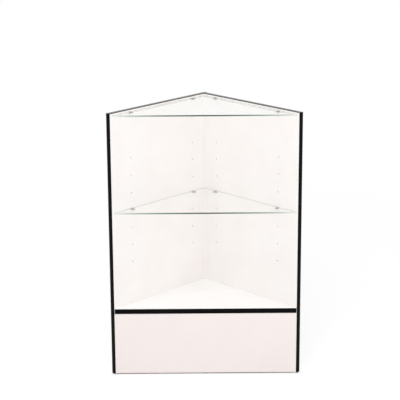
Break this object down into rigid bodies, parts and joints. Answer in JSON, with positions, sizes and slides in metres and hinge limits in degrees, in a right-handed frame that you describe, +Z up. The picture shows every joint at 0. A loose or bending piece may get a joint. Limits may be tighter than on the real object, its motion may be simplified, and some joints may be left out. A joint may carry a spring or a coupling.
{
  "type": "open-front corner cabinet",
  "caption": "Open-front triangular corner cabinet with upright sides, a raised deck over a kick board, and a clear glass shelf and top panel resting on removable pegs.",
  "frame": {"origin": "on the floor, midway between the open front and the rear corner, in the middle of the width", "axes": "+Z up, the open front faces -Y, +X to the right when looking into the cabinet"},
  "size_m": [0.678, 0.3518, 0.965],
  "materials": {
    "white_board": "white melamine film on chipboard, satin",
    "black_edging": "black PVC edging, satin",
    "clear_glass": "clear float glass with ground edges",
    "nickel_peg": "nickel-plated, satin",
    "clear_vinyl": "clear soft vinyl",
    "zinc_steel": "zinc-plated",
    "white_cap": "white moulded plastic, satin",
    "raw_beech": "raw planed wood",
    "glide_plastic": "grey moulded plastic, matt"
  },
  "bodies": {
    "cabinet": {"left_side_panel": "white_board", "right_side_panel": "white_board", "deck_panel": "white_board", "kick_panel": "white_board", "left_front_edging": "black_edging", "right_front_edging": "black_edging", "left_top_edging": "black_edging", "right_top_edging": "black_edging", "deck_edging": "black_edging", "corner_dowels": "raw_beech", "corner_screws": "zinc_steel", "corner_screw_caps": "white_cap", "deck_dowels": "raw_beech", "deck_screws": "zinc_steel", "deck_screw_caps": "white_cap", "kick_batten": "raw_beech", "batten_screws": "zinc_steel", "left_kick_block": "raw_beech", "right_kick_block": "raw_beech", "left_front_glide": "glide_plastic", "right_front_glide": "glide_plastic", "left_rear_glide": "glide_plastic", "right_rear_glide": "glide_plastic", "kick_glide": "glide_plastic"},
    "top_glass_panel": {"top_glass": "clear_glass"},
    "glass_shelf": {"shelf_glass": "clear_glass"},
    "shelf_left_rear_support": {"shelf_left_rear_peg": "nickel_peg", "shelf_left_rear_pad": "clear_vinyl"},
    "shelf_left_front_support": {"shelf_left_front_peg": "nickel_peg", "shelf_left_front_pad": "clear_vinyl"},
    "shelf_right_rear_support": {"shelf_right_rear_peg": "nickel_peg", "shelf_right_rear_pad": "clear_vinyl"},
    "shelf_right_front_support": {"shelf_right_front_peg": "nickel_peg", "shelf_right_front_pad": "clear_vinyl"},
    "top_left_rear_support": {"top_left_rear_peg": "nickel_peg", "top_left_rear_pad": "clear_vinyl"},
    "top_left_front_support": {"top_left_front_peg": "nickel_peg", "top_left_front_pad": "clear_vinyl"},
    "top_right_rear_support": {"top_right_rear_peg": "nickel_peg", "top_right_rear_pad": "clear_vinyl"},
    "top_right_front_support": {"top_right_front_peg": "nickel_peg", "top_right_front_pad": "clear_vinyl"}
  },
  "joints": [
    {"name": "top_glass_lift", "type": "slide", "parent": "cabinet", "child": "top_glass_panel", "axis": [0, 0, 1], "range_m": [0, 0.06]},
    {"name": "glass_shelf_draw", "type": "slide", "parent": "cabinet", "child": "glass_shelf", "axis": [0, -1, 0], "range_m": [0, 0.34]},
    {"name": "shelf_left_rear_pull", "type": "slide", "parent": "cabinet", "child": "shelf_left_rear_support", "axis": [0.7071, -0.7071, 0], "range_m": [0, 0.012]},
    {"name": "shelf_left_front_pull", "type": "slide", "parent": "cabinet", "child": "shelf_left_front_support", "axis": [0.7071, -0.7071, 0], "range_m": [0, 0.012]},
    {"name": "shelf_right_rear_pull", "type": "slide", "parent": "cabinet", "child": "shelf_right_rear_support", "axis": [-0.7071, -0.7071, 0], "range_m": [0, 0.012]},
    {"name": "shelf_right_front_pull", "type": "slide", "parent": "cabinet", "child": "shelf_right_front_support", "axis": [-0.7071, -0.7071, 0], "range_m": [0, 0.012]},
    {"name": "top_left_rear_pull", "type": "slide", "parent": "cabinet", "child": "top_left_rear_support", "axis": [0.7071, -0.7071, 0], "range_m": [0, 0.012]},
    {"name": "top_left_front_pull", "type": "slide", "parent": "cabinet", "child": "top_left_front_support", "axis": [0.7071, -0.7071, 0], "range_m": [0, 0.012]},
    {"name": "top_right_rear_pull", "type": "slide", "parent": "cabinet", "child": "top_right_rear_support", "axis": [-0.7071, -0.7071, 0], "range_m": [0, 0.012]},
    {"name": "top_right_front_pull", "type": "slide", "parent": "cabinet", "child": "top_right_front_support", "axis": [-0.7071, -0.7071, 0], "range_m": [0, 0.012]}
  ]
}
